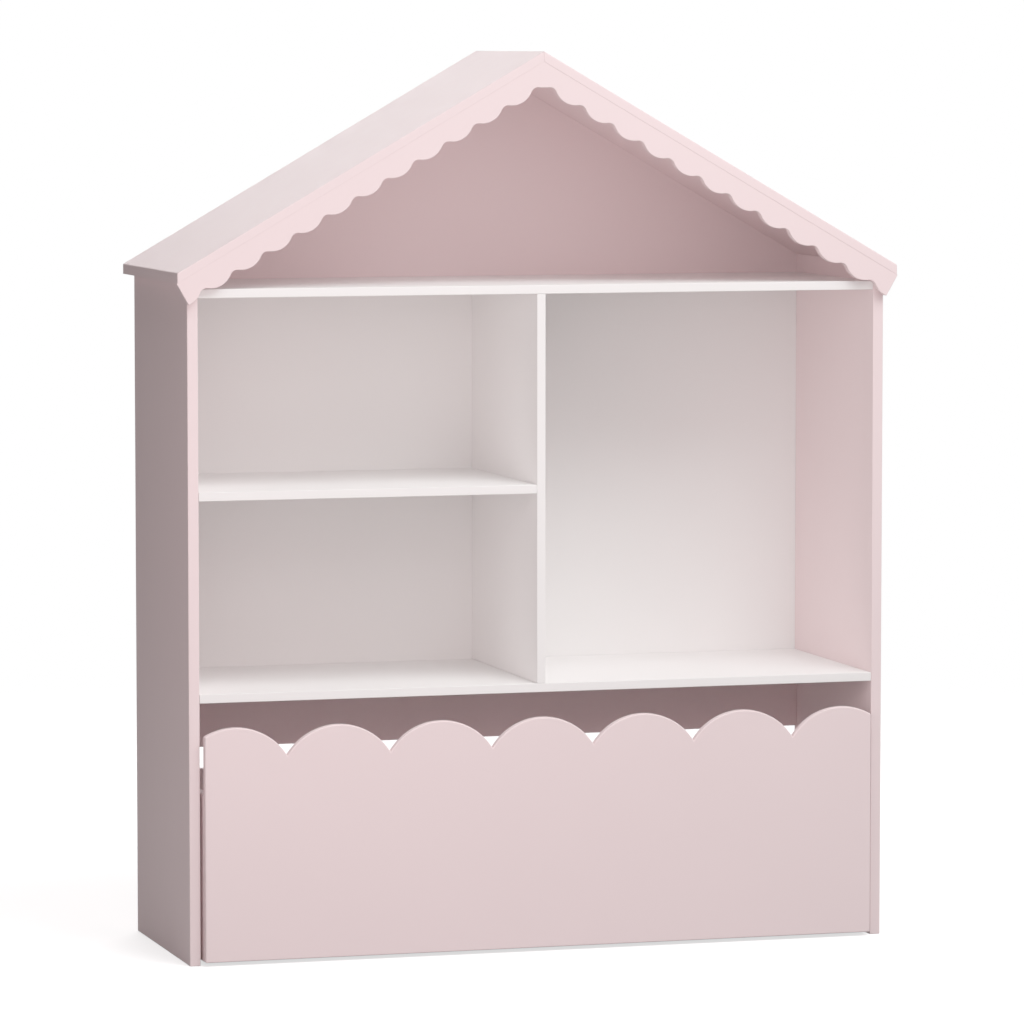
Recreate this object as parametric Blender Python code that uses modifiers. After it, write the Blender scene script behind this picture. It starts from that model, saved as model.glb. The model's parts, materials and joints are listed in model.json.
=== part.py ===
"""House-shaped bookcase of painted MDF with a roll-out toy box.

The carcass is two side boards, three shelves, a divider, a rear rail, a thin nailed-on back, two
roof boards mitred at the ridge and a scalloped fascia under the roof's front edges.  Beech
dowels locate the boards and cam fittings pull the shelves to the sides.  The toy box is an open
crate on four fixed castors behind a scalloped front board.

Metres, +Z up, front towards -Y.  The origin is on the floor, under the middle of the whole box.
"""

import math

import bmesh
import bpy
from mathutils import Matrix, Vector

# Overall sizes
WIDTH = 1.000                    # over the outer faces of the two sides
HEIGHT = 1.244                   # floor to the top of the ridge
DEPTH = 0.325                    # front to rear of the sides and the shelves
SIDE_T = 0.015                   # side boards
BOARD_T = 0.012                  # all other boards
BACK_T = 0.003                   # thin back
GAP = 0.0003                     # air between two pieces that touch
PAINT_EDGE = 0.0011              # rounding of the pink boards' edges
SHELF_EDGE = 0.0006              # rounding of the white boards' edges

# Shelves and rail
BOTTOM_SHELF_Z = 0.3605          # undersides
MIDDLE_SHELF_Z = 0.6360
TOP_SHELF_Z = 0.9115
RAIL_H = 0.100
BACK_INSET = 0.003               # the thin back stops this far inside the outer faces

# Roof and fascia
ROOF_PITCH = math.radians(30.0)
ROOF_OVERHANG = 0.016            # past each side
LOBE_PITCH = 0.04896             # fascia scallops, measured along the slope
LOBE_R = 0.030
NOTCH_R = 0.010
LOBE_DROP = 0.0455               # roof's top face to the lowest point of a scallop
FIRST_LOBE = 0.0125              # ridge to the first scallop's centre
LOBES = 13                       # down each slope
TAIL_PROUD = 0.001               # how far the fascia's tails pass the eaves

# Toy box
BOX_GAP = 0.00435                # between the toy box and each side board
BOX_LIFT = 0.0055                # under its boards
BOX_REAR = 0.287                 # how far back it reaches behind the carcass's front edges
BOX_RIM_Z = 0.235                # top of its sides and back
BOX_FLOOR_Z = 0.042              # underside of its floor board
SCALLOPS = 7
SCALLOP_PITCH = 0.14585
SCALLOP_R = 0.0862
SCALLOP_TOP_Z = 0.3265
BOX_EDGE = 0.0016                # rounding of the scalloped front

# Castors
WHEEL_R = 0.0175
WHEEL_W = 0.014
TREAD_EDGE = 0.0015
AXLE_R = 0.0025
AXLE_HEAD_R = 0.00425
AXLE_HEAD_T = 0.0015
FORK_T = 0.002
FORK_GAP = 0.001                 # each side of the wheel
FORK_PLATE = (0.038, 0.046)
CASTOR_INSET_X = 0.045           # from the inside of the toy box's sides
CASTOR_Y = (0.040, 0.235)        # behind the carcass's front edges

# Dowels and cam fittings
DOWEL_R = 0.003
DOWEL_IN_SIDE = 0.0095
DOWEL_IN_FACE = 0.007            # into the face of a 12 mm board
DOWEL_IN_END = 0.015             # into a board's end
ROW_Y = (0.045, 0.280)           # the two dowels of a joint, behind the front edges
DIVIDER_ROW_Y = (0.080, 0.245)
ROOF_ROW_Y = (0.065, 0.262)
CAM_Y = 0.1625
CAM_R = 0.006
CAM_H = 0.009
CAM_REACH = 0.024                # board's end to the cam's centre
CAM_MOUTH_PAST = 0.0035          # how far the cam is hollow past its centre
BOLT_HEAD_R = 0.0028
BOLT_HEAD_T = 0.003
BOLT_SHANK_R = 0.0020
BOLT_THREAD_R = 0.0025
RIDGE_DOWEL_DROP = 0.0091
RIDGE_DOWEL_IN = 0.007

# Worked out from these
INNER_X = WIDTH / 2 - SIDE_T
EAVE_X = WIDTH / 2 + ROOF_OVERHANG
SLOPE = math.tan(ROOF_PITCH)
ROOF_PLUMB_T = BOARD_T / math.cos(ROOF_PITCH)
ROOF_LIP = BOARD_T + 2 * GAP     # the roof covers the fascia's thickness
FRONT_Y = ROOF_LIP - (ROOF_LIP + DEPTH + GAP + BACK_T) / 2
BOX_X = INNER_X - BOX_GAP
TOP_SHELF_MID = TOP_SHELF_Z + BOARD_T / 2

FINISHES = {                     # colour, roughness, metallic
    "pink_paint": ((0.74, 0.61, 0.62, 1.0), 0.45, 0.0),
    "white_paint": ((0.86, 0.85, 0.83, 1.0), 0.40, 0.0),
    "beech": ((0.62, 0.44, 0.27, 1.0), 0.65, 0.0),
    "zinc": ((0.60, 0.60, 0.61, 1.0), 0.35, 1.0),
    "tyre": ((0.10, 0.10, 0.11, 1.0), 0.60, 0.0),
}


def new_collection(name):
    collection = bpy.data.collections.new(name)
    bpy.context.scene.collection.children.link(collection)
    return collection


for old in list(bpy.data.objects):
    bpy.data.objects.remove(old, do_unlink=True)
MODEL = new_collection("dollhouse_bookcase")
CUTTERS = new_collection("cutters")


# Helpers

def finish(obj, name):
    """Give an object a material of its own."""
    colour, roughness, metallic = FINISHES[name]
    material = bpy.data.materials.new(obj.name)
    material.use_nodes = True
    shader = material.node_tree.nodes["Principled BSDF"]
    shader.inputs["Base Color"].default_value = colour
    shader.inputs["Roughness"].default_value = roughness
    shader.inputs["Metallic"].default_value = metallic
    material.diffuse_color = colour
    obj.data.materials.clear()
    obj.data.materials.append(material)


def add_mesh(name, bm, collection=None):
    mesh = bpy.data.meshes.new(name)
    bm.to_mesh(mesh)
    bm.free()
    obj = bpy.data.objects.new(name, mesh)
    (collection or MODEL).objects.link(obj)
    return obj


def behind(distance):
    """World Y of a place this far behind the carcass's front edges."""
    return FRONT_Y + distance


def round_edges(obj, width, segments=2):
    bevel = obj.modifiers.new("edges", "BEVEL")
    bevel.width = width
    bevel.segments = segments
    bevel.limit_method = "ANGLE"
    bevel.angle_limit = math.radians(40)


def board(name, x, y, z, look, edge=PAINT_EDGE):
    """A rectangular board between three pairs of faces; y is measured behind the front edges."""
    bm = bmesh.new()
    bmesh.ops.create_cube(bm, size=1.0)
    size = Vector((x[1] - x[0], y[1] - y[0], z[1] - z[0]))
    bmesh.ops.scale(bm, vec=size, verts=bm.verts)
    obj = add_mesh(name, bm)
    obj.location = ((x[0] + x[1]) / 2, behind((y[0] + y[1]) / 2), (z[0] + z[1]) / 2)
    if edge:
        round_edges(obj, edge)
    finish(obj, look)
    return obj


def plate(name, outline, thickness, placement):
    """A closed outline of (across, up) points as a flat plate, standing as placement says."""
    curve = bpy.data.curves.new(name, "CURVE")
    curve.dimensions = "2D"
    curve.fill_mode = "BOTH"
    curve.extrude = thickness / 2
    spline = curve.splines.new("POLY")
    spline.points.add(len(outline) - 1)
    for point, (across, up) in zip(spline.points, outline):
        point.co = (across, up, 0.0, 1.0)
    spline.use_cyclic_u = True
    flat = bpy.data.objects.new(name + "_curve", curve)
    MODEL.objects.link(flat)
    flat.matrix_world = placement
    bpy.context.view_layer.update()
    graph = bpy.context.evaluated_depsgraph_get()
    mesh = bpy.data.meshes.new_from_object(flat.evaluated_get(graph))
    bm = bmesh.new()
    bm.from_mesh(mesh)
    bmesh.ops.remove_doubles(bm, verts=bm.verts, dist=0.00001)
    bmesh.ops.recalc_face_normals(bm, faces=bm.faces)
    bpy.data.meshes.remove(mesh)
    obj = add_mesh(name, bm)
    obj.matrix_world = flat.matrix_world
    bpy.data.objects.remove(flat)
    return obj


def cut_board(name, outline, y, look, edge=PAINT_EDGE, segments=2):
    """A board with a shaped (x, z) outline, between two distances behind the front edges."""
    upright = Matrix.Rotation(math.radians(90), 4, "X")
    middle = Matrix.Translation((0.0, behind((y[0] + y[1]) / 2), 0.0))
    obj = plate(name, outline, y[1] - y[0], middle @ upright)
    if edge:
        round_edges(obj, edge, segments)
    finish(obj, look)
    return obj


def rod(name, start, axis, radius, length, segments=12, collection=None):
    """A round rod from a start point along an axis."""
    bm = bmesh.new()
    bmesh.ops.create_cone(bm, cap_ends=True, segments=segments, radius1=radius, radius2=radius,
                          depth=length)
    obj = add_mesh(name, bm, collection)
    axis = Vector(axis).normalized()
    obj.rotation_euler = axis.to_track_quat("Z", "Y").to_euler()
    obj.location = Vector(start) + axis * length / 2
    return obj


def combine(target, other, operation):
    modifier = target.modifiers.new(operation.lower(), "BOOLEAN")
    modifier.operation = operation
    modifier.solver = "EXACT"
    modifier.object = other
    other.hide_render = True
    other.display_type = "WIRE"


def drill(target, start, axis, radius, depth, segments=12):
    """A blind hole into a board, from a point on its face, with a short lead outside the face."""
    lead = 0.004
    outside = Vector(start) - Vector(axis).normalized() * lead
    name = target.name + "_hole_" + str(len(target.modifiers))
    combine(target, rod(name, outside, axis, radius, depth + lead, segments, CUTTERS), "DIFFERENCE")


def dowel(name, seam, axis, first, depth_first, second, depth_second):
    """A beech dowel across the seam of two boards; axis points into the second one."""
    axis = Vector(axis)
    seam = Vector(seam)
    pin = rod(name, seam - axis * depth_first, axis, DOWEL_R, depth_first + depth_second)
    finish(pin, "beech")
    hole_r = DOWEL_R + GAP
    drill(first, seam, -axis, hole_r, depth_first + GAP)
    drill(second, seam, axis, hole_r, depth_second + GAP)
    return pin


def lathe(name, profile, centre, turn_y, steps=16):
    """A turned piece: (radius, height) points from the top of its axis down, laid along world X."""
    bm = bmesh.new()
    points = [bm.verts.new((radius, 0.0, height)) for radius, height in profile]
    for upper, lower in zip(points, points[1:]):
        bm.edges.new((upper, lower))
    obj = add_mesh(name, bm)
    screw = obj.modifiers.new("turn", "SCREW")
    screw.steps = steps
    screw.render_steps = steps
    screw.use_merge_vertices = True
    screw.merge_threshold = 0.00001
    obj.rotation_euler = (0.0, turn_y, 0.0)
    obj.location = centre
    return obj


def arc(centre, radius, start, end, steps):
    """Points of an arc; angles run anticlockwise from +across, in radians."""
    sweep = [start + (end - start) * i / steps for i in range(steps + 1)]
    return [(centre[0] + radius * math.cos(a), centre[1] + radius * math.sin(a)) for a in sweep]


def roof_z(x):
    """Height of the roof's top face."""
    return HEIGHT - abs(x) * SLOPE


def under_roof_z(x):
    return roof_z(x) - ROOF_PLUMB_T


# Carcass

def side_panel(name, side):
    outer = WIDTH / 2
    outline = [
        (side * outer, 0.0),
        (side * INNER_X, 0.0),
        (side * INNER_X, under_roof_z(INNER_X) - GAP),
        (side * outer, under_roof_z(outer) - GAP),
    ]
    return cut_board(name, outline, (0.0, DEPTH), "pink_paint")


def shelf(name, x, underside):
    span = (x[0] + GAP, x[1] - GAP)
    return board(name, span, (0.0, DEPTH), (underside, underside + BOARD_T), "white_paint", SHELF_EDGE)


def divider():
    z = (BOTTOM_SHELF_Z + BOARD_T + GAP, TOP_SHELF_Z - GAP)
    return board("divider", (-BOARD_T / 2, BOARD_T / 2), (0.0, DEPTH), z, "white_paint", SHELF_EDGE)


def rear_rail():
    z = (BOTTOM_SHELF_Z - RAIL_H, BOTTOM_SHELF_Z - GAP)
    return board("rear_rail", (-INNER_X + GAP, INNER_X - GAP), (DEPTH - BOARD_T, DEPTH), z, "pink_paint")


def back_panels():
    """The thin back, nailed on: a white sheet behind the shelves and a pink gable above."""
    reach = WIDTH / 2 - BACK_INSET
    y = (DEPTH + GAP, DEPTH + GAP + BACK_T)
    z = (BOTTOM_SHELF_Z + BACK_INSET, TOP_SHELF_MID - GAP)
    board("back_panel_lower", (-reach, reach), y, z, "white_paint", edge=0.0)
    drop = BACK_INSET / math.cos(ROOF_PITCH)
    gable = [
        (-reach, TOP_SHELF_MID),
        (reach, TOP_SHELF_MID),
        (reach, roof_z(reach) - drop),
        (0.0, HEIGHT - drop),
        (-reach, roof_z(reach) - drop),
    ]
    cut_board("back_panel_gable", gable, y, "pink_paint", edge=0.0)


def roof_panel(name, side):
    """A sloping board, plumb-cut at the ridge and at the eave."""
    ridge = GAP / 2
    outline = [
        (side * ridge, roof_z(ridge)),
        (side * EAVE_X, roof_z(EAVE_X)),
        (side * EAVE_X, under_roof_z(EAVE_X)),
        (side * ridge, under_roof_z(ridge)),
    ]
    return cut_board(name, outline, (-ROOF_LIP, DEPTH), "pink_paint")


def fascia():
    """The scalloped board under the roof's front edges, cut in one piece like an upside-down V.

    Its right half is drawn as (u, w): u down the slope from the ridge, w square to it, down from
    the roof's top face.  Round lobes are joined by smaller round notches that touch them.
    """
    lobe_w = LOBE_DROP - LOBE_R
    reach = LOBE_R + NOTCH_R
    swing = math.asin(LOBE_PITCH / 2 / reach)
    notch_w = lobe_w + reach * math.cos(swing)
    top_w = BOARD_T + GAP
    down = math.pi / 2
    across = math.cos(ROOF_PITCH)
    fall = math.sin(ROOF_PITCH)
    # The tails are cut square to the slope, just past the roof's lower eave corners
    tail_u = EAVE_X * across + (HEIGHT - under_roof_z(EAVE_X)) * fall + TAIL_PROUD
    # The first lobe starts where it crosses the middle
    start = math.acos((lobe_w * fall - FIRST_LOBE * across) / LOBE_R) - ROOF_PITCH
    edge = []
    for k in range(LOBES):
        u = FIRST_LOBE + LOBE_PITCH * k
        first = start if k == 0 else down + swing
        last = down - (swing if k < LOBES - 1 else math.asin((tail_u - u) / LOBE_R))
        edge += arc((u, lobe_w), LOBE_R, first, last, 6)
        if k < LOBES - 1:
            edge += arc((u + LOBE_PITCH / 2, notch_w), NOTCH_R, -down - swing, -down + swing, 3)[1:-1]
    edge += [(tail_u, top_w)]
    right = [(u * across - w * fall, HEIGHT - u * fall - w * across) for u, w in edge]
    left = [(-x, z) for x, z in reversed(right[1:])]
    apex = (0.0, HEIGHT - top_w / across)
    cut_board("fascia", left + right + [apex], (-BOARD_T - GAP, -GAP), "pink_paint", segments=1)


# Toy box

def body_origin(name, place):
    """An empty that stands on a joint's axis and carries the pieces that move with it."""
    empty = bpy.data.objects.new(name, None)
    empty.location = place
    MODEL.objects.link(empty)
    return empty


def carry(empty, pieces):
    """Parent pieces to an empty without moving them."""
    for piece in pieces:
        piece.parent = empty
        piece.matrix_parent_inverse = Matrix.Translation(-Vector(empty.location))


def toy_box_front():
    """The scalloped front board; its outer scallops are trimmed by the board's ends."""
    centre_z = SCALLOP_TOP_Z - SCALLOP_R
    cusp = math.asin(SCALLOP_PITCH / 2 / SCALLOP_R)
    last_x = SCALLOP_PITCH * (SCALLOPS - 1) / 2
    trim = math.asin((BOX_X - last_x) / SCALLOP_R)
    up = math.pi / 2
    outline = [(-BOX_X, BOX_LIFT), (BOX_X, BOX_LIFT)]
    for k in reversed(range(SCALLOPS)):
        x = SCALLOP_PITCH * k - last_x
        first = up - (trim if k == SCALLOPS - 1 else cusp)
        last = up + (trim if k == 0 else cusp)
        points = arc((x, centre_z), SCALLOP_R, first, last, 12)
        outline += points if k == 0 else points[:-1]
    return cut_board("toy_box_front", outline, (-BOARD_T, 0.0), "pink_paint", BOX_EDGE)


def toy_box_boards():
    z = (BOX_LIFT, BOX_RIM_Z)
    inner = BOX_X - BOARD_T
    between = (-inner + GAP, inner - GAP)
    front = toy_box_front()
    left = board("toy_box_side_left", (-BOX_X, -inner), (GAP, BOX_REAR), z, "pink_paint")
    right = board("toy_box_side_right", (inner, BOX_X), (GAP, BOX_REAR), z, "pink_paint")
    back = board("toy_box_back", between, (BOX_REAR - BOARD_T, BOX_REAR), z, "pink_paint")
    floor_z = (BOX_FLOOR_Z, BOX_FLOOR_Z + BOARD_T)
    floor = board("toy_box_floor", between, (GAP, BOX_REAR - BOARD_T - GAP), floor_z, "white_paint",
                  SHELF_EDGE)
    return [front, left, right, back, floor]


def castor_ear(name, x, y, top):
    """One cheek of the fork: wide at the plate, round about the axle."""
    half = 0.012
    tip = 0.006
    outline = [(-half, top), (-half, WHEEL_R + tip)]
    outline += arc((0.0, WHEEL_R), tip, math.pi, 2 * math.pi, 8)
    outline += [(half, WHEEL_R + tip), (half, top)]
    facing = Matrix.Rotation(math.radians(90), 4, "Z") @ Matrix.Rotation(math.radians(90), 4, "X")
    return plate(name, outline, FORK_T, Matrix.Translation((x, y, 0.0)) @ facing)


def castor(place, x, distance):
    """A fixed castor that rolls front to rear: fork, wheel and a riveted axle along X."""
    y = behind(distance)
    top = BOX_FLOOR_Z - GAP
    half_gap = WHEEL_W / 2 + FORK_GAP
    bm = bmesh.new()
    bmesh.ops.create_cube(bm, size=1.0)
    bmesh.ops.scale(bm, vec=(*FORK_PLATE, FORK_T), verts=bm.verts)
    fork = add_mesh("castor_fork_" + place, bm)
    fork.location = (x, y, top - FORK_T / 2)
    for k, side in enumerate((-1, 1)):
        ear = castor_ear(fork.name + "_ear_" + str(k), x + side * (half_gap + FORK_T / 2), y,
                         top - FORK_T / 2)
        CUTTERS.objects.link(ear)
        MODEL.objects.unlink(ear)
        combine(fork, ear, "UNION")
    width = 2 * (half_gap + FORK_T)
    axle_hole = rod(fork.name + "_hole", (x - width, y, WHEEL_R), (1, 0, 0), AXLE_R + GAP, 2 * width,
                    12, CUTTERS)
    combine(fork, axle_hole, "DIFFERENCE")
    finish(fork, "zinc")

    wheel = rod("castor_wheel_" + place, (x - WHEEL_W / 2, y, WHEEL_R), (1, 0, 0), WHEEL_R, WHEEL_W, 32)
    round_edges(wheel, TREAD_EDGE)
    bore = rod(wheel.name + "_bore", (x - WHEEL_W, y, WHEEL_R), (1, 0, 0), AXLE_R + GAP, 2 * WHEEL_W,
               12, CUTTERS)
    combine(wheel, bore, "DIFFERENCE")
    finish(wheel, "tyre")

    half = half_gap + FORK_T + GAP
    end = half + AXLE_HEAD_T
    profile = [(0.0, end), (AXLE_HEAD_R, end), (AXLE_HEAD_R, half), (AXLE_R, half),
               (AXLE_R, -half), (AXLE_HEAD_R, -half), (AXLE_HEAD_R, -end), (0.0, -end)]
    axle = lathe("castor_axle_" + place, profile, (x, y, WHEEL_R), math.radians(90), 12)
    finish(axle, "zinc")
    return fork, wheel, axle


def toy_box():
    slide = body_origin("toy_box_slide", (0.0, FRONT_Y, BOX_LIFT))
    pieces = toy_box_boards()
    castor_x = BOX_X - BOARD_T - CASTOR_INSET_X
    for row, distance in zip(("front", "rear"), CASTOR_Y):
        for hand, x in (("left", -castor_x), ("right", castor_x)):
            fork, wheel, axle = castor(row + "_" + hand, x, distance)
            pieces += [fork, axle]
            spin = body_origin("wheel_spin_" + row + "_" + hand, (x, behind(distance), WHEEL_R))
            carry(spin, [wheel])
            carry(slide, [spin])
    carry(slide, pieces)


# Dowels and cam fittings

def shelf_end(name, side_board, board_, side, underside):
    """One end of a load-bearing shelf: two dowels and a cam fitting between them."""
    z = underside + BOARD_T / 2
    seam_x = side * INNER_X
    inward = Vector((-side, 0.0, 0.0))
    for row, distance in zip(("front", "rear"), ROW_Y):
        dowel("dowel_" + name + "_" + row, (seam_x, behind(distance), z), inward,
              side_board, DOWEL_IN_SIDE, board_, DOWEL_IN_END)

    cam_x = seam_x - side * CAM_REACH
    y = behind(CAM_Y)
    cam = rod("cam_" + name, (cam_x, y, underside), (0, 0, 1), CAM_R - 2 * GAP, CAM_H, 20)
    drill(board_, (cam_x, y, underside), (0, 0, 1), CAM_R, CAM_H + GAP, 20)
    # The cam is hollow on the bolt's side, and the bolt's head sits inside it
    mouth = rod(cam.name + "_mouth", (cam_x - side * CAM_MOUTH_PAST, y, z), -inward,
                BOLT_HEAD_R + GAP, CAM_MOUTH_PAST + CAM_R, 12, CUTTERS)
    combine(cam, mouth, "DIFFERENCE")
    finish(cam, "zinc")

    tip = DOWEL_IN_SIDE
    head_end = CAM_REACH + BOLT_HEAD_T
    profile = [(0.0, tip), (BOLT_THREAD_R, tip), (BOLT_THREAD_R, 0.0), (BOLT_SHANK_R, 0.0),
               (BOLT_SHANK_R, -CAM_REACH), (BOLT_HEAD_R, -CAM_REACH), (BOLT_HEAD_R, -head_end),
               (0.0, -head_end)]
    bolt = lathe("cam_bolt_" + name, profile, (seam_x, y, z), side * math.radians(90), 12)
    finish(bolt, "zinc")
    drill(side_board, (seam_x, y, z), -inward, BOLT_THREAD_R + GAP, tip + GAP)
    drill(board_, (seam_x, y, z), inward, BOLT_HEAD_R + GAP, CAM_REACH)


def carcass():
    left = side_panel("side_panel_left", -1)
    right = side_panel("side_panel_right", 1)
    full = (-INNER_X, INNER_X)
    bottom = shelf("bottom_shelf", full, BOTTOM_SHELF_Z)
    middle = shelf("middle_shelf", (-INNER_X, -BOARD_T / 2), MIDDLE_SHELF_Z)
    top = shelf("top_shelf", full, TOP_SHELF_Z)
    upright = divider()
    rear_rail()
    back_panels()
    roof_left = roof_panel("roof_panel_left", -1)
    roof_right = roof_panel("roof_panel_right", 1)
    fascia()

    shelf_end("bottom_left", left, bottom, -1, BOTTOM_SHELF_Z)
    shelf_end("bottom_right", right, bottom, 1, BOTTOM_SHELF_Z)
    shelf_end("top_left", left, top, -1, TOP_SHELF_Z)
    shelf_end("top_right", right, top, 1, TOP_SHELF_Z)

    middle_z = MIDDLE_SHELF_Z + BOARD_T / 2
    for row, distance in zip(("front", "rear"), ROW_Y):
        dowel("dowel_middle_left_" + row, (-INNER_X, behind(distance), middle_z), (1, 0, 0),
              left, DOWEL_IN_SIDE, middle, DOWEL_IN_END)
        dowel("dowel_middle_right_" + row, (-BOARD_T / 2, behind(distance), middle_z), (-1, 0, 0),
              upright, DOWEL_IN_FACE, middle, DOWEL_IN_END)
    for row, distance in zip(("front", "rear"), DIVIDER_ROW_Y):
        dowel("dowel_divider_foot_" + row, (0.0, behind(distance), BOTTOM_SHELF_Z + BOARD_T), (0, 0, 1),
              bottom, DOWEL_IN_FACE, upright, DOWEL_IN_END)
        dowel("dowel_divider_head_" + row, (0.0, behind(distance), TOP_SHELF_Z), (0, 0, -1),
              top, DOWEL_IN_FACE, upright, DOWEL_IN_END)

    side_x = WIDTH / 2 - SIDE_T / 2
    for row, distance in zip(("front", "rear"), ROOF_ROW_Y):
        y = behind(distance)
        seam_z = under_roof_z(side_x)
        dowel("dowel_roof_left_" + row, (-side_x, y, seam_z), (0, 0, -1), roof_left, DOWEL_IN_FACE,
              left, DOWEL_IN_END)
        dowel("dowel_roof_right_" + row, (side_x, y, seam_z), (0, 0, -1), roof_right, DOWEL_IN_FACE,
              right, DOWEL_IN_END)
        dowel("dowel_ridge_" + row, (0.0, y, HEIGHT - RIDGE_DOWEL_DROP), (1, 0, 0), roof_left,
              RIDGE_DOWEL_IN, roof_right, RIDGE_DOWEL_IN)


carcass()
toy_box()
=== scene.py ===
"""The looks of the house-shaped bookcase: lacquered boards, hardware, studio light and camera."""
import json
import math

import bmesh
import bpy
from mathutils import Euler, Matrix, Vector


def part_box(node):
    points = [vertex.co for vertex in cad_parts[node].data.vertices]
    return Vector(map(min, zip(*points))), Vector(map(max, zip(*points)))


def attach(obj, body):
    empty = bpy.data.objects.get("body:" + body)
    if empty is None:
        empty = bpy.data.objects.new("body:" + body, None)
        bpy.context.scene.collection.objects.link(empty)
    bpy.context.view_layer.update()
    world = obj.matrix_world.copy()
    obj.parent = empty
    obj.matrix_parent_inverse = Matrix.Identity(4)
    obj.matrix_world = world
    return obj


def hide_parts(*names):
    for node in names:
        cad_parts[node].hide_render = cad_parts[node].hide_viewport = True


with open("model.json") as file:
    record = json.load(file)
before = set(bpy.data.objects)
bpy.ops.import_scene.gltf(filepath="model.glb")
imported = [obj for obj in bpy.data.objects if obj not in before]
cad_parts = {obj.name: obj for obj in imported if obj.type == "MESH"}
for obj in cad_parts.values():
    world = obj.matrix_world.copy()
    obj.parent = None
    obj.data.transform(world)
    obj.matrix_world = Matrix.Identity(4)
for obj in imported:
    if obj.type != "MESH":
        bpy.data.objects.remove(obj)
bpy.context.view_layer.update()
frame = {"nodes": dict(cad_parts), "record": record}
NODES = frame["nodes"]
SLOTS = {entry["node"]: entry["material_slot"] for entry in frame["record"]["subparts"]}

# Camera: from the front left, just above the ridge's height
CAMERA_AT = (-2.2302, -7.5537, 1.2563)
CAMERA_YAW = math.radians(16.48)
CAMERA_PITCH = math.radians(4.78)
CAMERA_LENS = 197.53
SENSOR = 36.0

# Studio: softboxes on (azimuth, elevation) about a point on the bookcase's middle line; azimuth 0
# is in front and 90 to the right.  The near ones are small and light the compartments' insides.
FAR = (0.62, 5.0, 3.2)           # height of that point, distance, size
NEAR = (0.62, 1.2, 0.8)
NEAR_ATTIC = (1.05, 1.2, 0.6)
NEUTRAL = (1.0, 1.0, 1.0)
WARM = (1.0, 0.91, 0.91)
ROSE = (1.0, 0.78, 0.78)         # light that comes back from the pink boards
SOFTBOXES = {                    # azimuth, elevation, watts, colour, stand
    "key_light": (30, 52, 127, NEUTRAL, FAR),
    "front_high_light": (0, 52, 62, NEUTRAL, FAR),
    "rear_high_light": (180, 60, 42, NEUTRAL, FAR),
    "rear_light": (165, 12, 145, WARM, FAR),
    "right_light": (80, 10, 45, NEUTRAL, FAR),
    "left_light": (-60, 5, 32, WARM, FAR),
    "near_left_light": (-30, 5, 2.8, ROSE, NEAR),
    "near_right_light": (24, 25, 1.6, ROSE, NEAR),
    "attic_light": (0, 10, 1.3, NEUTRAL, NEAR_ATTIC),
}
AMBIENT = (0.002, 0.002, 0.002)
DISPLAY_GAMMA = 1.6              # a soft product-photo contrast

# Floor: its own faint glow keeps its shadows pale, and it thins out with distance
FLOOR_SEEN = 0.85
FLOOR_GLOW = 0.55
FLOOR_BOUNCE = 0.30
FLOOR_FADE = (1.2, 3.2)

# Sizes that the finer boards share with the CAD
HEIGHT = 1.244
BOARD_T = 0.012
GAP = 0.0003
SEAM_GAP = 0.0001                # paint fills most of the gap between fascia and roof
ROOF_PITCH = math.radians(30.0)
SLOPE = math.tan(ROOF_PITCH)
EAVE_X = 0.516
LOBES = 13
LOBE_PITCH = 0.04896
LOBE_R = 0.030
NOTCH_R = 0.010
LOBE_DROP = 0.0455
FIRST_LOBE = 0.0125
TAIL_PROUD = 0.001
SCALLOPS = 7
SCALLOP_PITCH = 0.14585
SCALLOP_R = 0.0862

# Rounding of edges, and the share of it that an edge in a tight seam gets
PAINT_EDGE = 0.0011
ROOF_EDGE = 0.0014
BOX_EDGE = 0.0018
FASCIA_SHARE = 0.7
SEAM_SHARE = 0.07

# Meshes: distance that welds vertices, outline turns that are corners, edges that shade sharp
WELD = 0.00001
CORNER = math.radians(30)
SHARP = math.radians(35)

# Hardware
CASTORS = ("front_left", "front_right", "rear_left", "rear_right")
CAMS = ("bottom_left", "bottom_right", "top_left", "top_right")
NAIL_R = 0.0020
NAIL_PROUD = 0.0003
NAIL_INSET = 0.0075              # from the edge of the thin back
NAIL_STEP = 0.040                # from the end of a row
WOOD_SCREW = (0.0036, 0.00015, 0.00010)     # head's radius, height and dome
PAN_SCREW = (0.0030, 0.0016, 0.0009)
SCREW_STUB = 0.0010              # buried part of a screw's head
RECESS_REACH = 0.55              # cross recess, in parts of the head's radius
RECESS_WIDTH = 0.22
SIDE_SCREW_LOW = 0.090           # above the toy box's lower edge
SIDE_SCREW_TOP = 0.030           # under its rim
FLOOR_SCREW_FRONT = 0.040        # behind its floor's front edge
CAM_RECESS = (0.0042, 0.0013, 0.0014)       # reach, width and depth
PLATE_T = 0.002
PLATE_INSET = 0.006

# Castor wheels: radii outwards from the axle, half the web's thickness, and roundings
WHEEL_BORE = 0.0028
WHEEL_HUB = 0.0062
WHEEL_RIM = 0.0130
WHEEL_WEB = 0.0030
WHEEL_TREAD = 0.0022
WHEEL_ARRIS = 0.0004
WHEEL_DRAFT = 0.0006
WHEEL_STEPS = 64

# Paint colours (linear)
PINK = (0.880, 0.695, 0.705)
WHITE = (0.925, 0.915, 0.905)
RAW_FIBRE = (0.96, 0.92, 0.86)   # how far hardboard's fibres darken thin paint


# Scene

def make_camera():
    data = bpy.data.cameras.new("camera")
    data.lens = CAMERA_LENS
    data.sensor_width = SENSOR
    camera = bpy.data.objects.new("camera", data)
    camera.location = CAMERA_AT
    camera.rotation_euler = Euler((math.pi / 2 - CAMERA_PITCH, 0.0, -CAMERA_YAW), "XYZ")
    bpy.context.scene.collection.objects.link(camera)
    bpy.context.scene.camera = camera


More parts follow.
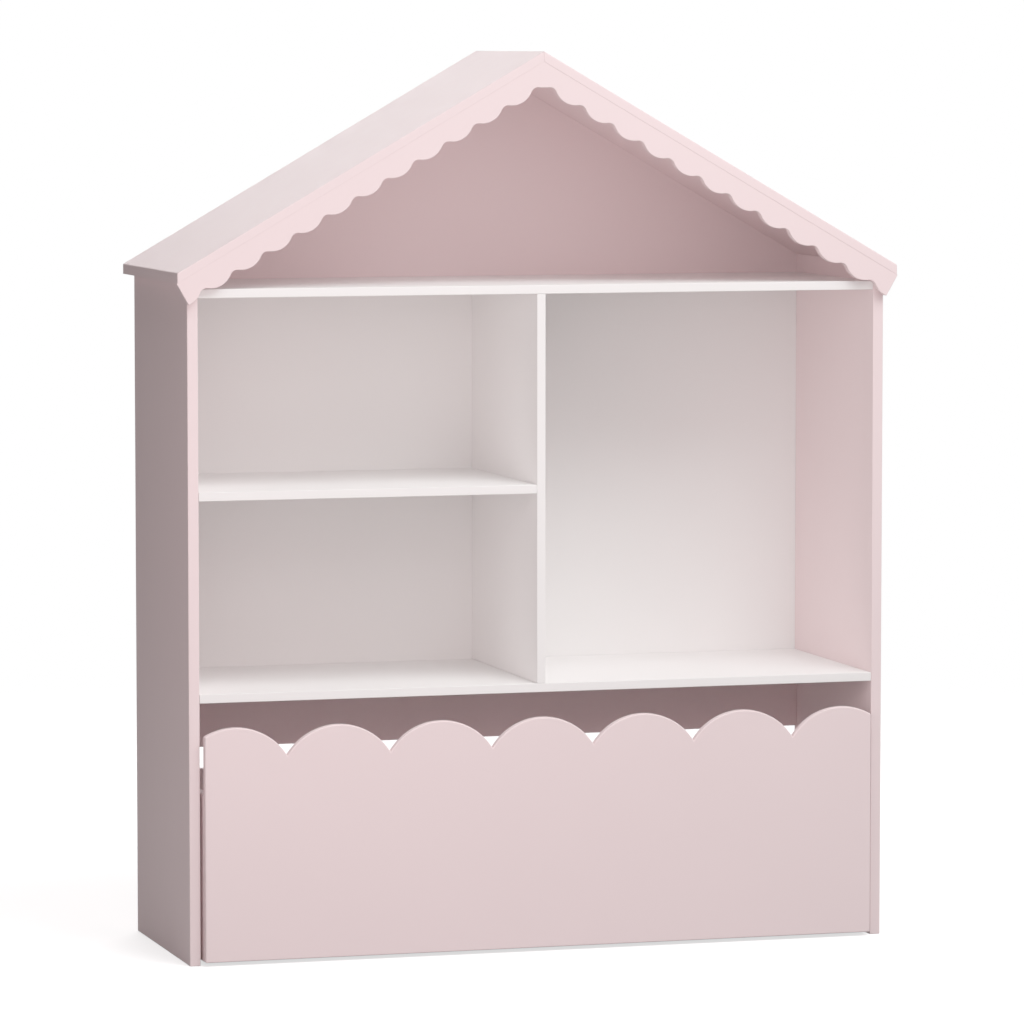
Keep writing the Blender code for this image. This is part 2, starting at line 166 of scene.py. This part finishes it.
def softbox(name, azimuth, elevation, watts, colour, stand):
    """A square softbox on a sphere about a point of the bookcase, aimed at that point."""
    height, distance, size = stand
    bearing = math.radians(azimuth)
    rise = math.radians(elevation)
    way = Vector((math.sin(bearing) * math.cos(rise),
                  -math.cos(bearing) * math.cos(rise),
                  math.sin(rise)))
    data = bpy.data.lights.new(name, "AREA")
    data.shape = "SQUARE"
    data.size = size
    data.energy = watts
    data.color = colour
    light = bpy.data.objects.new(name, data)
    light.location = Vector((0.0, 0.0, height)) + way * distance
    light.rotation_euler = (-way).to_track_quat("-Z", "Y").to_euler()
    light.visible_camera = False
    bpy.context.scene.collection.objects.link(light)


def make_world():
    """White behind everything; its light on the object is only a faint ambient."""
    world = bpy.data.worlds.new("world")
    bpy.context.scene.world = world
    world.use_nodes = True
    tree = world.node_tree
    tree.nodes["Background"].inputs["Color"].default_value = (*AMBIENT, 1.0)
    white = tree.nodes.new("ShaderNodeBackground")
    white.inputs["Color"].default_value = (1.0, 1.0, 1.0, 1.0)
    seen = tree.nodes.new("ShaderNodeLightPath")
    mix = tree.nodes.new("ShaderNodeMixShader")
    tree.links.new(seen.outputs["Is Camera Ray"], mix.inputs[0])
    tree.links.new(tree.nodes["Background"].outputs[0], mix.inputs[1])
    tree.links.new(white.outputs[0], mix.inputs[2])
    tree.links.new(mix.outputs[0], tree.nodes["World Output"].inputs["Surface"])


def floor_material():
    """Pale matt paint; what the camera sees glows a little and thins out with distance."""
    material = bpy.data.materials.new("floor")
    material.use_nodes = True
    tree = material.node_tree
    shader = tree.nodes["Principled BSDF"]
    shader.inputs["Roughness"].default_value = 0.9
    shader.inputs["Specular IOR Level"].default_value = 0.1
    seen = tree.nodes.new("ShaderNodeLightPath")
    shade = tree.nodes.new("ShaderNodeMapRange")
    shade.inputs["To Min"].default_value = FLOOR_BOUNCE
    shade.inputs["To Max"].default_value = FLOOR_SEEN
    tree.links.new(seen.outputs["Is Camera Ray"], shade.inputs["Value"])
    tree.links.new(shade.outputs["Result"], shader.inputs["Base Color"])
    shader.inputs["Emission Color"].default_value = (1.0, 1.0, 1.0, 1.0)
    glow = tree.nodes.new("ShaderNodeMath")
    glow.operation = "MULTIPLY"
    glow.inputs[1].default_value = FLOOR_GLOW
    tree.links.new(seen.outputs["Is Camera Ray"], glow.inputs[0])
    tree.links.new(glow.outputs[0], shader.inputs["Emission Strength"])
    place = tree.nodes.new("ShaderNodeTexCoord")
    distance = tree.nodes.new("ShaderNodeVectorMath")
    distance.operation = "LENGTH"
    tree.links.new(place.outputs["Object"], distance.inputs[0])
    fade = tree.nodes.new("ShaderNodeMapRange")
    fade.interpolation_type = "SMOOTHSTEP"
    fade.inputs["From Min"].default_value = FLOOR_FADE[0]
    fade.inputs["From Max"].default_value = FLOOR_FADE[1]
    fade.inputs["To Min"].default_value = 1.0
    fade.inputs["To Max"].default_value = 0.0
    tree.links.new(distance.outputs["Value"], fade.inputs["Value"])
    tree.links.new(fade.outputs["Result"], shader.inputs["Alpha"])
    return material


def make_floor():
    bm = bmesh.new()
    bmesh.ops.create_circle(bm, cap_ends=True, segments=96, radius=FLOOR_FADE[1])
    mesh = bpy.data.meshes.new("floor")
    bm.to_mesh(mesh)
    bm.free()
    floor = bpy.data.objects.new("floor", mesh)
    bpy.context.scene.collection.objects.link(floor)
    mesh.materials.append(floor_material())


# Materials

def new_material(name, colour, roughness, metallic=0.0):
    """A Principled material and the handles its surface detail is wired to."""
    material = bpy.data.materials.new(name)
    material.use_nodes = True
    tree = material.node_tree
    shader = tree.nodes["Principled BSDF"]
    shader.inputs["Base Color"].default_value = (*colour, 1.0)
    shader.inputs["Roughness"].default_value = roughness
    shader.inputs["Metallic"].default_value = metallic
    return material, tree, shader


def noise(tree, scale, detail=2.0, stretch=(1.0, 1.0, 1.0)):
    """Noise in the object's own metres; scale is in cells per metre."""
    place = tree.nodes.new("ShaderNodeTexCoord")
    mapping = tree.nodes.new("ShaderNodeMapping")
    mapping.inputs["Scale"].default_value = stretch
    texture = tree.nodes.new("ShaderNodeTexNoise")
    texture.inputs["Scale"].default_value = scale
    texture.inputs["Detail"].default_value = detail
    tree.links.new(place.outputs["Object"], mapping.inputs["Vector"])
    tree.links.new(mapping.outputs["Vector"], texture.inputs["Vector"])
    return texture.outputs["Fac"]


def remap(tree, value, low, high):
    node = tree.nodes.new("ShaderNodeMapRange")
    node.inputs["From Min"].default_value = 0.3
    node.inputs["From Max"].default_value = 0.7
    node.inputs["To Min"].default_value = low
    node.inputs["To Max"].default_value = high
    tree.links.new(value, node.inputs["Value"])
    return node.outputs["Result"]


def tint(tree, value, first, second):
    """A colour that wanders between two close shades."""
    node = tree.nodes.new("ShaderNodeMix")
    node.data_type = "RGBA"
    node.inputs["A"].default_value = (*first, 1.0)
    node.inputs["B"].default_value = (*second, 1.0)
    tree.links.new(value, node.inputs["Factor"])
    return node.outputs["Result"]


def bump(tree, value, distance, strength, previous=None):
    node = tree.nodes.new("ShaderNodeBump")
    node.inputs["Distance"].default_value = distance
    node.inputs["Strength"].default_value = strength
    tree.links.new(value, node.inputs["Height"])
    if previous is not None:
        tree.links.new(previous, node.inputs["Normal"])
    return node.outputs["Normal"]


def lacquer(name, colour):
    """Satin lacquer sprayed on MDF: slight orange peel over the board's fine fibre."""
    material, tree, shader = new_material(name, colour, 0.5)
    shader.inputs["Specular IOR Level"].default_value = 0.25
    shade = tuple(0.985 * c for c in colour)
    drift = remap(tree, noise(tree, 5.0, 3.0), 0.0, 1.0)
    tree.links.new(tint(tree, drift, shade, colour), shader.inputs["Base Color"])
    tree.links.new(remap(tree, noise(tree, 38.0, 4.0), 0.46, 0.54), shader.inputs["Roughness"])
    peel = bump(tree, noise(tree, 420.0, 1.0), 0.0002, 0.08)
    fibre = bump(tree, noise(tree, 2600.0, 3.0), 0.0001, 0.05, peel)
    tree.links.new(fibre, shader.inputs["Normal"])
    return material


def hardboard(name, colour):
    """Lacquered hardboard: smooth in front, with its mottled fibres showing through at the rear."""
    material = lacquer(name, colour)
    tree = material.node_tree
    shader = tree.nodes["Principled BSDF"]
    front_colour = shader.inputs["Base Color"].links[0].from_socket
    front_normal = shader.inputs["Normal"].links[0].from_socket
    normal = tree.nodes.new("ShaderNodeSeparateXYZ")
    tree.links.new(tree.nodes.new("ShaderNodeNewGeometry").outputs["Normal"], normal.inputs[0])
    rear = tree.nodes.new("ShaderNodeMath")
    rear.operation = "GREATER_THAN"
    rear.inputs[1].default_value = 0.5
    tree.links.new(normal.outputs["Y"], rear.inputs[0])
    fibres = remap(tree, noise(tree, 260.0, 6.0, (1.0, 1.0, 0.6)), 0.0, 1.0)
    mottled = tint(tree, fibres, [c * w for c, w in zip(colour, RAW_FIBRE)], colour)
    mix = tree.nodes.new("ShaderNodeMix")
    mix.data_type = "RGBA"
    tree.links.new(rear.outputs[0], mix.inputs["Factor"])
    tree.links.new(front_colour, mix.inputs["A"])
    tree.links.new(mottled, mix.inputs["B"])
    tree.links.new(mix.outputs["Result"], shader.inputs["Base Color"])
    felt = bump(tree, noise(tree, 900.0, 3.0), 0.00006, 1.0, front_normal)
    tree.links.new(rear.outputs[0], felt.node.inputs["Strength"])
    tree.links.new(felt, shader.inputs["Normal"])
    return material


def beech():
    """Raw turned beech: fine grain along the dowel and short dark flecks."""
    light, dark = (0.66, 0.48, 0.31), (0.50, 0.33, 0.19)
    material, tree, shader = new_material("beech_wood", light, 0.62)
    grain = remap(tree, noise(tree, 900.0, 4.0, (0.15, 1.0, 1.0)), 0.0, 1.0)
    tree.links.new(tint(tree, grain, light, dark), shader.inputs["Base Color"])
    tree.links.new(bump(tree, grain, 0.0001, 0.3), shader.inputs["Normal"])
    return material


def zinc():
    """Bright zinc plate with a faint brushed grain."""
    material, tree, shader = new_material("zinc_plate", (0.62, 0.62, 0.64), 0.32, 1.0)
    tree.links.new(remap(tree, noise(tree, 260.0, 4.0), 0.26, 0.42), shader.inputs["Roughness"])
    brush = noise(tree, 1800.0, 2.0, (1.0, 0.08, 1.0))
    tree.links.new(bump(tree, brush, 0.00005, 0.25), shader.inputs["Normal"])
    return material


def castor_plastic():
    """Dark grey moulded plastic with a fine spark-eroded texture."""
    light, dark = (0.115, 0.115, 0.12), (0.085, 0.085, 0.09)
    material, tree, shader = new_material("castor_plastic", light, 0.55)
    blotch = remap(tree, noise(tree, 120.0, 3.0), 0.0, 1.0)
    tree.links.new(tint(tree, blotch, light, dark), shader.inputs["Base Color"])
    tree.links.new(bump(tree, noise(tree, 2500.0, 2.0), 0.00008, 0.35), shader.inputs["Normal"])
    return material


MATERIALS = {                    # by the record's material slots
    "pink_paint": lacquer("pink_lacquer", PINK),
    "white_paint": lacquer("white_lacquer", WHITE),
    "beech": beech(),
    "zinc": zinc(),
    "tyre": castor_plastic(),
}
THIN_BACKS = {                   # nodes whose painted slot shows hardboard at the rear
    "back_panel_lower": hardboard("white_hardboard", WHITE),
    "back_panel_gable": hardboard("pink_hardboard", PINK),
}


def paint(obj, slot):
    obj.data.materials.clear()
    obj.data.materials.append(THIN_BACKS.get(obj.name, MATERIALS[slot]))


def even_normals(obj):
    """Flat faces stay flat and the roundings between them shade smoothly."""
    obj.data.shade_smooth()
    normals = obj.modifiers.new("normals", "WEIGHTED_NORMAL")
    normals.weight = 100
    normals.keep_sharp = False


def dress_cad():
    """Every CAD node takes the material of its slot, with its bevels shaded round."""
    for name, slot in SLOTS.items():
        obj = NODES[name]
        paint(obj, slot)
        weld = obj.modifiers.new("weld", "WELD")
        weld.merge_threshold = WELD
        even_normals(obj)


# Boards that are made finer than their CAD nodes

def arc(centre, radius, start, end, steps):
    """Points of an arc; angles run anticlockwise from +across, in radians."""
    sweep = [start + (end - start) * i / steps for i in range(steps + 1)]
    return [(centre[0] + radius * math.cos(a), centre[1] + radius * math.sin(a)) for a in sweep]


def corner_angle(before, here, after):
    first = Vector(here) - Vector(before)
    second = Vector(after) - Vector(here)
    return first.angle(second)


def slab(node, outline, edge, share=None, segments=3):
    """A board with an (x, z) outline in place of its CAD node, its sharp edges rounded.

    share(a, b) is the part of the rounding that the edge from outline point a to b gets.
    """
    share = share or (lambda a, b: 1.0)
    low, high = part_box(node)
    bm = bmesh.new()
    weight = bm.edges.layers.float.new("bevel_weight_edge")
    front, rear = ([bm.verts.new((x, y, z)) for x, z in outline] for y in (low.y, high.y))
    bm.faces.new(front)
    bm.faces.new(reversed(rear))
    count = len(outline)
    for i in range(count):
        j = (i + 1) % count
        bm.faces.new((front[i], front[j], rear[j], rear[i]))
        amount = share(outline[i], outline[j])
        for ring in (front, rear):
            bm.edges.get((ring[i], ring[j]))[weight] = amount
        if corner_angle(outline[i - 1], outline[i], outline[j]) > CORNER:
            bm.edges.get((front[i], rear[i]))[weight] = min(amount, share(outline[i - 1], outline[i]))
    bmesh.ops.recalc_face_normals(bm, faces=bm.faces)
    mesh = bpy.data.meshes.new(node + "_board")
    bm.to_mesh(mesh)
    bm.free()
    board = bpy.data.objects.new(node + "_board", mesh)
    bpy.context.scene.collection.objects.link(board)
    bevel = board.modifiers.new("edges", "BEVEL")
    bevel.limit_method = "WEIGHT"
    bevel.width = edge
    bevel.segments = segments
    even_normals(board)
    slot = SLOTS[node]
    paint(board, slot)
    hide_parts(node)
    return board


def roof_z(x):
    """Height of the roof's top face."""
    return HEIGHT - abs(x) * SLOPE


def roof_board(node, side):
    """Its seams with the fascia and with the other roof board stay nearly sharp."""
    plumb = BOARD_T / math.cos(ROOF_PITCH)
    ridge = side * GAP / 2
    eave = side * EAVE_X
    outline = [(ridge, roof_z(ridge)), (eave, roof_z(eave)), (eave, roof_z(eave) - plumb),
               (ridge, roof_z(ridge) - plumb)]

    def share(a, b):
        under = a[1] < roof_z(a[0]) - GAP and b[1] < roof_z(b[0]) - GAP
        at_ridge = abs(a[0]) < GAP and abs(b[0]) < GAP
        return SEAM_SHARE if under or at_ridge else 1.0

    return slab(node, outline, ROOF_EDGE, share)


def fascia_board():
    """Scallops down both slopes: round lobes joined by smaller round notches that touch them."""
    lobe_w = LOBE_DROP - LOBE_R
    reach = LOBE_R + NOTCH_R
    swing = math.asin(LOBE_PITCH / 2 / reach)
    notch_w = lobe_w + reach * math.cos(swing)
    top_w = BOARD_T + SEAM_GAP
    down = math.pi / 2
    across = math.cos(ROOF_PITCH)
    fall = math.sin(ROOF_PITCH)
    eave_drop = EAVE_X * SLOPE + BOARD_T / across
    tail_u = EAVE_X * across + eave_drop * fall + TAIL_PROUD
    start = math.acos((lobe_w * fall - FIRST_LOBE * across) / LOBE_R) - ROOF_PITCH
    edge = []
    for k in range(LOBES):
        u = FIRST_LOBE + LOBE_PITCH * k
        first = start if k == 0 else down + swing
        last = down - (swing if k < LOBES - 1 else math.asin((tail_u - u) / LOBE_R))
        edge += arc((u, lobe_w), LOBE_R, first, last, 14)
        if k < LOBES - 1:
            edge += arc((u + LOBE_PITCH / 2, notch_w), NOTCH_R, -down - swing, -down + swing, 8)[1:-1]
    edge += [(tail_u, top_w)]
    right = [(u * across - w * fall, HEIGHT - u * fall - w * across) for u, w in edge]
    left = [(-x, z) for x, z in reversed(right[1:])]
    apex = (0.0, HEIGHT - top_w / across)

    def share(a, b):
        return SEAM_SHARE if apex in (a, b) else FASCIA_SHARE

    return slab("fascia", left + right + [apex], PAINT_EDGE, share)


def toy_front_board():
    low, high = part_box("toy_box_front")
    centre_z = high.z - SCALLOP_R
    cusp = math.asin(SCALLOP_PITCH / 2 / SCALLOP_R)
    last_x = SCALLOP_PITCH * (SCALLOPS - 1) / 2
    trim = math.asin((high.x - last_x) / SCALLOP_R)
    up = math.pi / 2
    outline = [(low.x, low.z), (high.x, low.z)]
    for k in reversed(range(SCALLOPS)):
        x = SCALLOP_PITCH * k - last_x
        first = up - (trim if k == SCALLOPS - 1 else cusp)
        last = up + (trim if k == 0 else cusp)
        points = arc((x, centre_z), SCALLOP_R, first, last, 36)
        outline += points if k == 0 else points[:-1]
    return slab("toy_box_front", outline, BOX_EDGE, segments=4)


def make_boards():
    for board in (roof_board("roof_panel_left", -1), roof_board("roof_panel_right", 1), fascia_board()):
        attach(board, "carcass")
    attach(toy_front_board(), "toy_box")


# Hardware

def turn(bm, profile, place, steps=24):
    """Add a turned shape; its profile of (radius, height) starts and ends on the axis."""
    rings = []
    for radius, height in profile:
        count = steps if radius else 1
        angles = [2 * math.pi * k / count for k in range(count)]
        rings.append([bm.verts.new(place @ Vector((radius * math.cos(a), radius * math.sin(a), height)))
                      for a in angles])
    for first, second in zip(rings, rings[1:]):
        for k in range(steps):
            corners = [first[k % len(first)], first[(k + 1) % len(first)],
                       second[(k + 1) % len(second)], second[k % len(second)]]
            bm.faces.new(list(dict.fromkeys(corners)))


def new_piece(name, bm, slot, body):
    """A loose piece of the object, riding on a body."""
    bmesh.ops.recalc_face_normals(bm, faces=bm.faces)
    mesh = bpy.data.meshes.new(name)
    bm.to_mesh(mesh)
    bm.free()
    piece = bpy.data.objects.new(name, mesh)
    bpy.context.scene.collection.objects.link(piece)
    mesh.shade_smooth()
    mesh.set_sharp_from_angle(angle=SHARP)
    paint(piece, slot)
    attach(piece, body)
    return piece


def cross_cutter(reach, width, depth):
    """Two crossed bars whose outer ends stand over z = 0 and whose feet reach down to -depth."""
    bm = bmesh.new()
    for turn_z in (0.0, math.pi / 2):
        bar = bmesh.ops.create_cube(bm, size=1.0)["verts"]
        bmesh.ops.scale(bm, vec=(2 * reach, width, 2 * depth), verts=bar)
        bmesh.ops.rotate(bm, matrix=Matrix.Rotation(turn_z, 3, "Z"), verts=bar)
    return bm


def carve(base, cutter, place):
    """The mesh that is left of one mesh when a shape placed on it is cut out."""
    shapes = []
    for name, mesh in (("base", base), ("cutter", cutter)):
        shape = bpy.data.objects.new(name, mesh)
        bpy.context.scene.collection.objects.link(shape)
        shapes.append(shape)
    solid, tool = shapes
    tool.matrix_world = place
    cut = solid.modifiers.new("cut", "BOOLEAN")
    cut.operation = "DIFFERENCE"
    cut.use_self = True
    cut.object = tool
    bpy.context.view_layer.update()
    graph = bpy.context.evaluated_depsgraph_get()
    mesh = bpy.data.meshes.new_from_object(solid.evaluated_get(graph))
    for shape in shapes:
        bpy.data.objects.remove(shape)
    return mesh


def mesh_of(bm):
    bmesh.ops.recalc_face_normals(bm, faces=bm.faces)
    mesh = bpy.data.meshes.new("shape")
    bm.to_mesh(mesh)
    bm.free()
    return mesh


def screw_head(radius, height, dome):
    """A round head on z = 0 with a cross recess; its buried side is a short stub."""
    bm = bmesh.new()
    profile = [(0.0, height)]
    profile += [(radius * math.sin(a), height - dome * (1 - math.cos(a)))
                for a in (math.radians(18 * k) for k in range(1, 5))]
    profile += [(radius, height - dome), (radius, -SCREW_STUB), (0.0, -SCREW_STUB)]
    turn(bm, profile, Matrix.Identity(4))
    reach = RECESS_REACH * radius
    recess = mesh_of(cross_cutter(reach, RECESS_WIDTH * radius, reach))
    return carve(mesh_of(bm), recess, Matrix.Translation((0.0, 0.0, height)))


def facing(way):
    """A rotation that turns +Z to a direction."""
    return Vector(way).to_track_quat("Z", "Y").to_matrix().to_4x4()


def scatter(name, mesh, places, slot, body):
    """One piece made of a copy of a mesh at every place."""
    bm = bmesh.new()
    for place in places:
        start = len(bm.verts)
        bm.from_mesh(mesh)
        bm.verts.ensure_lookup_table()
        bmesh.ops.transform(bm, matrix=place, verts=bm.verts[start:])
    return new_piece(name, bm, slot, body)


def along(start, end, count):
    """Evenly spaced points from start to end, both included."""
    return [Vector(start).lerp(Vector(end), k / (count - 1)) for k in range(count)]


def back_nails():
    """Brad nails round the thin back: into the sides, the shelves' rear edges and the roof."""
    lower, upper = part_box("back_panel_lower")
    gable_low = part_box("back_panel_gable")[0]
    y = upper.y
    side_low, side_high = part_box("side_panel_right")
    side_x = (side_low.x + side_high.x) / 2
    lines = []
    for side in (-1, 1):
        x = side * side_x
        lines += along((x, y, lower.z + NAIL_INSET), (x, y, upper.z - NAIL_INSET), 6)
        eave = Vector((x, y, roof_z(x) - NAIL_INSET / math.cos(ROOF_PITCH)))
        lines += along(eave, (side * NAIL_INSET, y, roof_z(NAIL_INSET) - 1.4 * NAIL_INSET), 6)[:-1]
    for node, count in (("bottom_shelf", 9), ("top_shelf", 9), ("middle_shelf", 5)):
        low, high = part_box(node)
        z = (low.z + high.z) / 2
        if node == "top_shelf":
            z = gable_low.z + NAIL_INSET / 2
        lines += along((low.x + NAIL_STEP, y, z), (high.x - NAIL_STEP, y, z), count)
    low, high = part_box("divider")
    lines += along((0.0, y, low.z + NAIL_STEP), (0.0, y, high.z - NAIL_STEP), 5)
    bm = bmesh.new()
    profile = [(0.0, NAIL_PROUD), (0.6 * NAIL_R, 0.9 * NAIL_PROUD), (NAIL_R, 0.4 * NAIL_PROUD),
               (NAIL_R, -NAIL_PROUD), (0.0, -NAIL_PROUD)]
    for point in lines:
        turn(bm, profile, Matrix.Translation(point) @ facing((0, 1, 0)), 12)
    new_piece("back_nails", bm, "zinc", "carcass")


def toy_box_screws():
    """Countersunk screws through the toy box's sides, into its rear board and its floor."""
    head = screw_head(*WOOD_SCREW)
    rear_low, rear_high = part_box("toy_box_back")
    floor_low, floor_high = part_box("toy_box_floor")
    rear_y = (rear_low.y + rear_high.y) / 2
    floor_z = (floor_low.z + floor_high.z) / 2
    places = []
    for node, side in (("toy_box_side_left", -1), ("toy_box_side_right", 1)):
        low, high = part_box(node)
        x = high.x if side > 0 else low.x
        points = along((x, rear_y, low.z + SIDE_SCREW_LOW), (x, rear_y, high.z - SIDE_SCREW_TOP), 2)
        points += along((x, floor_low.y + FLOOR_SCREW_FRONT, floor_z), (x, rear_y, floor_z), 4)
        places += [Matrix.Translation(point) @ facing((side, 0, 0)) for point in points]
    scatter("toy_box_screws", head, places, "zinc", "toy_box")


def castor_screws():
    """Four pan-head screws under each castor's plate."""
    head = screw_head(*PAN_SCREW)
    places = []
    for place in CASTORS:
        low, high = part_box("castor_fork_" + place)
        for x in (low.x + PLATE_INSET, high.x - PLATE_INSET):
            for y in (low.y + PLATE_INSET, high.y - PLATE_INSET):
                point = Vector((x, y, high.z - PLATE_T))
                places.append(Matrix.Translation(point) @ facing((0, 0, -1)))
    scatter("castor_screws", head, places, "zinc", "toy_box")


def castor_wheel(place):
    """Rounded tread, a recess on each face and a hub about the axle."""
    node = "castor_wheel_" + place
    low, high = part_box(node)
    radius = (high.z - low.z) / 2
    half = (high.x - low.x) / 2
    side = [(WHEEL_BORE, half), (WHEEL_HUB - WHEEL_ARRIS, half), (WHEEL_HUB, half - WHEEL_ARRIS),
            (WHEEL_HUB + WHEEL_DRAFT, WHEEL_WEB), (WHEEL_RIM - WHEEL_DRAFT, WHEEL_WEB),
            (WHEEL_RIM, half - WHEEL_DRAFT), (WHEEL_RIM + WHEEL_DRAFT, half)]
    side += [(radius + WHEEL_TREAD * (math.sin(a) - 1), half + WHEEL_TREAD * (math.cos(a) - 1))
             for a in (math.radians(15 * k) for k in range(7))]
    profile = side + [(r, -h) for r, h in reversed(side)]
    bm = bmesh.new()
    angles = [2 * math.pi * k / WHEEL_STEPS for k in range(WHEEL_STEPS)]
    rings = [[bm.verts.new((h, r * math.cos(a), r * math.sin(a))) for a in angles]
             for r, h in profile]
    for first, second in zip(rings, rings[1:] + rings[:1]):
        for k in range(WHEEL_STEPS):
            after = (k + 1) % WHEEL_STEPS
            bm.faces.new((first[k], first[after], second[after], second[k]))
    bmesh.ops.translate(bm, vec=(low + high) / 2, verts=bm.verts)
    wheel = new_piece("wheel_" + place, bm, "tyre", "wheel_" + place)
    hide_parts(node)


def cam_face(place):
    """The CAD cam with a cross recess cut in the face that a screwdriver turns."""
    node = "cam_" + place
    low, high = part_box(node)
    middle = (low + high) / 2
    recess = mesh_of(cross_cutter(*CAM_RECESS))
    mesh = carve(NODES[node].data.copy(), recess, Matrix.Translation((middle.x, middle.y, low.z)))
    bm = bmesh.new()
    bm.from_mesh(mesh)
    bmesh.ops.remove_doubles(bm, verts=bm.verts, dist=WELD)
    cam = new_piece("cam_face_" + place, bm, "zinc", "carcass")
    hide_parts(node)


def make_hardware():
    back_nails()
    toy_box_screws()
    castor_screws()
    for place in CASTORS:
        castor_wheel(place)
    for place in CAMS:
        cam_face(place)


make_camera()
for light_name, settings in SOFTBOXES.items():
    softbox(light_name, *settings)
make_world()
make_floor()
dress_cad()
make_boards()
make_hardware()
bpy.context.scene.view_settings.view_transform = "Standard"
bpy.context.scene.view_settings.gamma = DISPLAY_GAMMA
